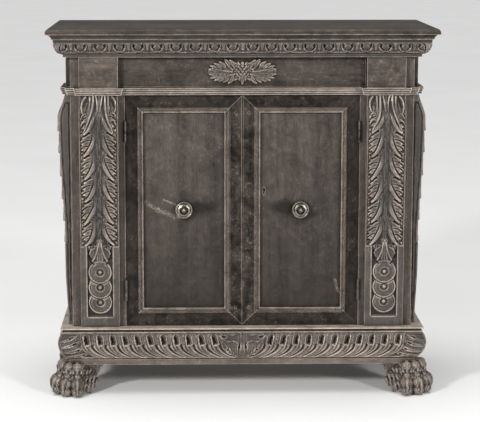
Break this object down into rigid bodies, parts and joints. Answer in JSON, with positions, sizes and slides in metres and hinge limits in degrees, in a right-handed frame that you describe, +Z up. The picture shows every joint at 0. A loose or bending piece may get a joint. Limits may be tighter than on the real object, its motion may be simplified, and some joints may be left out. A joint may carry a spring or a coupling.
{
  "type": "credenza",
  "caption": "Low carved walnut cupboard on lion's paws, with panelled doors between scrolled consoles and a shallow drawer in the frieze.",
  "frame": {"origin": "on the floor, under the middle of the whole piece's box", "axes": "+Z up, doors facing -Y, +X to the right of someone facing the doors"},
  "size_m": [1.18, 0.49, 1.118],
  "materials": {
    "walnut": "waxed, worn",
    "walnut_dark": "waxed, darkened in the hollows",
    "walnut_light": "waxed, rubbed",
    "poplar": "bare, aged",
    "bronze": "dull, rubbed on the rims",
    "iron": "forged, blackened"
  },
  "bodies": {
    "case": {"top_board": "walnut", "cornice_front": "walnut_dark", "cornice_sides": "walnut_dark", "frieze_block_left": "walnut", "frieze_block_right": "walnut", "frieze_side_left": "walnut", "frieze_side_right": "walnut", "ledge_front": "walnut_dark", "ledge_sides": "walnut_dark", "side_board_left": "walnut", "side_board_right": "walnut", "front_stile_left": "walnut", "front_stile_right": "walnut", "back_boards": "poplar", "bottom_board": "poplar", "dust_board": "poplar", "shelf": "poplar", "shelf_cleats": "poplar", "drawer_guides": "poplar", "front_console_left": "walnut", "front_console_right": "walnut", "side_consoles_left": "walnut", "side_consoles_right": "walnut", "side_frame_left": "walnut", "side_frame_right": "walnut", "base_front": "walnut_dark", "base_left": "walnut_dark", "base_right": "walnut_dark", "plinth_frame": "walnut_dark", "foot_front_left": "walnut_dark", "foot_front_right": "walnut_dark", "foot_rear_left": "walnut_dark", "foot_rear_right": "walnut_dark", "hinge_frame_leaves": "iron"},
    "door_left": {"door_left_hinge_stile": "walnut", "door_left_meeting_stile": "walnut", "door_left_rails": "walnut", "door_left_panel": "walnut_light", "door_left_moulding": "walnut_dark", "door_left_knob": "bronze", "door_left_pegs": "walnut_light", "door_left_hinge_leaves": "iron", "lock_keeper": "iron", "inner_bolt_guides": "iron"},
    "door_right": {"door_right_hinge_stile": "walnut", "door_right_meeting_stile": "walnut", "door_right_rails": "walnut", "door_right_panel": "walnut_light", "door_right_moulding": "walnut_dark", "door_right_knob": "bronze", "door_right_pegs": "walnut_light", "door_right_hinge_leaves": "iron", "lock_case": "iron"},
    "drawer": {"drawer_front": "walnut_light", "drawer_box": "poplar", "drawer_bottom": "poplar", "drawer_ornament": "walnut_light"},
    "lock_bolt": {"lock_bolt": "iron"},
    "inner_bolt": {"inner_bolt": "iron"}
  },
  "joints": [
    {"name": "door_left_hinge", "type": "hinge", "parent": "case", "child": "door_left", "pos_m": [-0.35325, -0.1723, 0.5625], "axis": [0, 0, 1], "range_deg": [-105, 0]},
    {"name": "door_right_hinge", "type": "hinge", "parent": "case", "child": "door_right", "pos_m": [0.35325, -0.1723, 0.5625], "axis": [0, 0, 1], "range_deg": [0, 105]},
    {"name": "drawer_slide", "type": "slide", "parent": "case", "child": "drawer", "axis": [0, -1, 0], "range_m": [0, 0.24]},
    {"name": "lock_bolt_slide", "type": "slide", "parent": "door_right", "child": "lock_bolt", "axis": [-1, 0, 0], "range_m": [0, 0.018]},
    {"name": "inner_bolt_slide", "type": "slide", "parent": "door_left", "child": "inner_bolt", "axis": [0, 0, 1], "range_m": [0, 0.014]}
  ]
}
